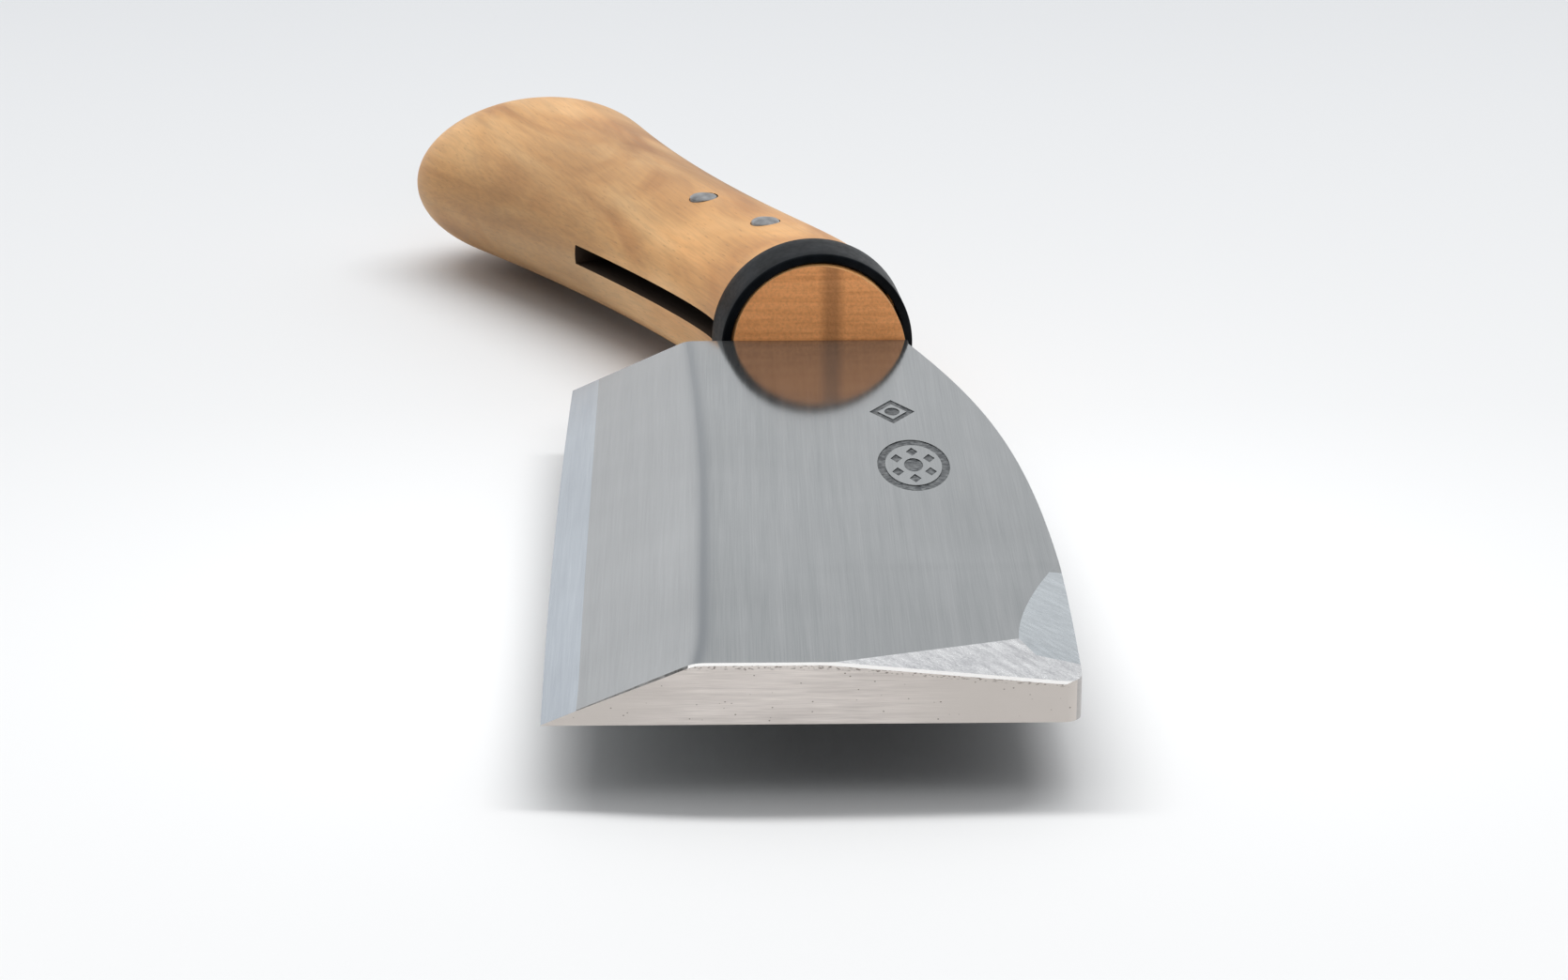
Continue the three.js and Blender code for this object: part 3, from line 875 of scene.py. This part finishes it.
def grip():
    """The wooden grip: a leaning cut over an upright one at its front, a slot and rivet holes."""
    rings = [grip_ring(along, fullness) for along, fullness in grip_profile()]
    bm = rings_mesh(rings)
    bmesh.ops.poke(bm, faces=[f for f in bm.faces if len(f.verts) > 4])
    foot = placed((0, GRIP_START.y, THICKNESS))
    end_faces = []
    for lean in (END_LEAN, 0):
        facing = (0, -math.cos(lean), math.sin(lean))
        result = bmesh.ops.bisect_plane(bm, geom=bm.verts[:] + bm.edges[:] + bm.faces[:], dist=1e-7,
                                        plane_co=foot, plane_no=facing, clear_outer=True)
        outline = [g for g in result["geom_cut"] if isinstance(g, bmesh.types.BMEdge)]
        end_faces += bmesh.ops.edgeloop_fill(bm, edges=outline)["faces"]
    bmesh.ops.recalc_face_normals(bm, faces=bm.faces)
    for face in bm.faces:
        face.material_index = 1 if face in end_faces else 0
    rim = [e for face in end_faces for e in face.edges if not all(f in end_faces for f in e.link_faces)]
    bmesh.ops.bevel(bm, geom=rim, offset=END_CHAMFER * MM, segments=3, profile=0.5,
                    affect="EDGES", material=3, clamp_overlap=True)
    obj = new_object("wooden_grip", bm, [LONG_GRAIN, END_GRAIN, SLOT_SHADE_WOOD, END_CHAMFER_WOOD])
    half = TANG_THICKNESS / 2 + GAP
    # The cut faces of the slot and rivet holes take the slot wood's painted shade.
    cutters = [strip_along_grip("slot_cutter", -6, SLOT_LENGTH, lambda s: -20,
                                lambda s: tang_half_width(s) + GAP, AXIS_HEIGHT - half,
                                AXIS_HEIGHT + half, 2)]
    for along, aside in RIVET_PLACES.values():
        x, y, low, high = rivet_spot(along, aside)
        cutters.append(upright_cutter("rivet_cutter", RIVET_RADIUS + 0.08, x, y, low - 5, high + 5, 2))
        cutters.append(upright_cutter("recess_cutter", WASHER_RADIUS + GAP, x, y, low - 5,
                                      low + WASHER_RECESS, 2))
    cut(obj, cutters)
    shade(obj.data, 28)
    return obj


def tang():
    """The tang, joined to the forging and seen in the slot."""
    half = TANG_THICKNESS / 2
    return strip_along_grip("tang_join", -3, TANG_LENGTH, lambda s: -tang_half_width(s), tang_half_width,
                            AXIS_HEIGHT - half, AXIS_HEIGHT + half, FORGING_TINTS.index("spine"))


def ferrule():
    """The ring on the front of the grip, with softened corners."""
    front, length, wall = FERRULE["front"], FERRULE["length"], FERRULE["wall"]
    rear = front + length
    soft = FERRULE_SOFTNESS

    def corner(radius, along, turn):
        return [(radius + soft * math.cos(turn + a), along + soft * math.sin(turn + a))
                for a in (math.radians(d) for d in (0, 22.5, 45, 67.5, 90))]

    front_out, rear_out = FERRULE["front_radius"], FERRULE["rear_radius"]
    profile = corner(front_out - soft, front + soft, math.radians(-90))
    profile += [(lerp(front_out, rear_out, t), lerp(front + soft, rear - soft, t))
                for t in (0.25, 0.5, 0.75)]
    profile += corner(rear_out - soft, rear - soft, 0)
    profile += [(rear_out - wall, rear), (front_out - wall, front + 0.15), (front_out - wall + 0.15, front)]
    profile.append(profile[0])
    bm = lathe_mesh(profile, 128)
    bmesh.ops.remove_doubles(bm, verts=bm.verts, dist=1e-7)
    turn = Matrix.Rotation(GRIP_HEADING, 4, "Z") @ Matrix.Rotation(math.radians(-90), 4, "X")
    shift = Matrix.Translation(placed((*GRIP_START, AXIS_HEIGHT)))
    bmesh.ops.transform(bm, matrix=shift @ turn, verts=bm.verts)
    return new_object("ferrule_ring", bm, [BLACK], 40)


def rivet(name, along, aside):
    """A rivet with a hammered dome on top and a spread head under its washer."""
    x, y, low, high = rivet_spot(along, aside)
    head_top = low + WASHER_RECESS - WASHER_THICKNESS - 2 * GAP
    head = [(0, 1.1), (1.4, 1.03), (2.4, 0.8), (3.0, 0.45), (3.2, 0.15), (3.15, 0), (RIVET_RADIUS, 0)]
    dome = [(RIVET_RADIUS, -0.3), (RIVET_RADIUS - 0.05, 0), (1.8, 0.2), (1.3, 0.36), (0.7, 0.46), (0, 0.5)]
    profile = [(r, head_top - depth) for r, depth in head] + [(r, high + rise) for r, rise in dome]
    bm = lathe_mesh(profile, 64)
    bmesh.ops.translate(bm, verts=bm.verts, vec=placed((x, y, 0)))
    for vert in bm.verts:
        wobble = noise.noise(vert.co * 900) * 0.06 * MM
        vert.co.z += wobble if vert.co.z > placed((0, 0, high)).z else 0
    return new_object(name, bm, [RIVET], 40)


def washer(name, along, aside):
    """A washer in its recess, softened more at its lower rim than at its upper one."""
    x, y, low, _ = rivet_spot(along, aside)
    top = low + WASHER_RECESS - GAP
    bottom = top - WASHER_THICKNESS
    hole = RIVET_RADIUS + GAP
    profile = [(hole, bottom), (WASHER_RADIUS - 0.2, bottom), (WASHER_RADIUS, bottom + 0.2),
               (WASHER_RADIUS, top - 0.1), (WASHER_RADIUS - 0.1, top), (hole, top), (hole, bottom)]
    bm = lathe_mesh(profile, 64)
    bmesh.ops.remove_doubles(bm, verts=bm.verts, dist=1e-7)
    bmesh.ops.translate(bm, verts=bm.verts, vec=placed((x, y, 0)))
    return new_object(name, bm, [RIVET], 40)


# ---------------------------------------------------------------- pieces on their bodies

def settle(piece, slot_name, *nodes):
    """Puts a piece on the body and makes it stand for its CAD nodes."""
    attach(piece, "root")
    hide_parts(*nodes)


forging = blade_forging()
cut(forging, [tang()], "UNION")
cut(forging, marks())
shade(forging.data, 9)
settle(forging, "forged_steel", "blade_body")
settle(hardened_strip(), "hardened_steel", "edge_steel")
settle(grip(), "oiled_wood", "handle")
settle(ferrule(), "black_steel", "ferrule")
for end, place in RIVET_PLACES.items():
    settle(rivet(f"rivet_{end}_peened", *place), "rivet_steel", f"rivet_{end}")
    settle(washer(f"washer_{end}_plate", *place), "rivet_steel", f"washer_{end}")


# ---------------------------------------------------------------- floor, lights and camera

GRIP_FRONT = placed((*GRIP_START, THICKNESS + AXIS_HEIGHT))


def floor():
    bm = bmesh.new()
    bmesh.ops.create_grid(bm, x_segments=4, y_segments=4, size=FLOOR_SIZE)
    obj = new_object("floor", bm, [floor_material()])
    obj.location.z = cad_bounds[0][2]


def area_light(name, place, target, size, power):
    """A soft rectangle of light, kept out of the mirror images in the steel."""
    data = bpy.data.lights.new(name, "AREA")
    data.shape = "RECTANGLE"
    data.size, data.size_y = size
    data.energy = power
    obj = bpy.data.objects.new(name, data)
    obj.location = place
    obj.rotation_euler = (Vector(target) - Vector(place)).to_track_quat("-Z", "Y").to_euler()
    obj.visible_glossy = False
    bpy.context.scene.collection.objects.link(obj)


def world():
    """A room that is brightest high up behind the object and dim on the viewer's side."""
    sky = bpy.data.worlds.new("studio")
    sky.use_nodes = True
    tree = sky.node_tree
    towards = tree.nodes.new("ShaderNodeVectorMath")
    towards.operation = "DOT_PRODUCT"
    towards.inputs[1].default_value = BRIGHT_SIDE
    tree.links.new(tree.nodes.new("ShaderNodeTexCoord").outputs["Generated"], towards.inputs[0])
    ramp = tree.nodes.new("ShaderNodeMapRange")
    ramp.interpolation_type = "SMOOTHSTEP"
    ramp.inputs["From Min"].default_value = -0.1
    ramp.inputs["From Max"].default_value = 0.75
    ramp.inputs["To Min"].default_value = ROOM_DIM
    ramp.inputs["To Max"].default_value = ROOM_BRIGHT
    tree.links.new(towards.outputs["Value"], ramp.inputs["Value"])
    background = tree.nodes["Background"]
    background.inputs["Color"].default_value = (0.97, 0.985, 1.0, 1)
    tree.links.new(ramp.outputs[0], background.inputs["Strength"])
    bpy.context.scene.world = sky


def camera():
    data = bpy.data.cameras.new("camera")
    data.lens = LENS
    data.sensor_width = 36
    data.clip_start = 0.01
    obj = bpy.data.objects.new("camera", data)
    obj.location = CAMERA_PLACE
    obj.rotation_euler = (math.radians(90 - CAMERA_PITCH), 0, math.radians(CAMERA_YAW))
    bpy.context.scene.collection.objects.link(obj)
    bpy.context.scene.camera = obj


floor()
world()
area_light("overhead_strip", **STRIP)
area_light("end_card", GRIP_FRONT + CARD_OFFSET, GRIP_FRONT, CARD_SIZE, CARD_POWER)
camera()
bpy.context.scene.view_settings.view_transform = "Standard"
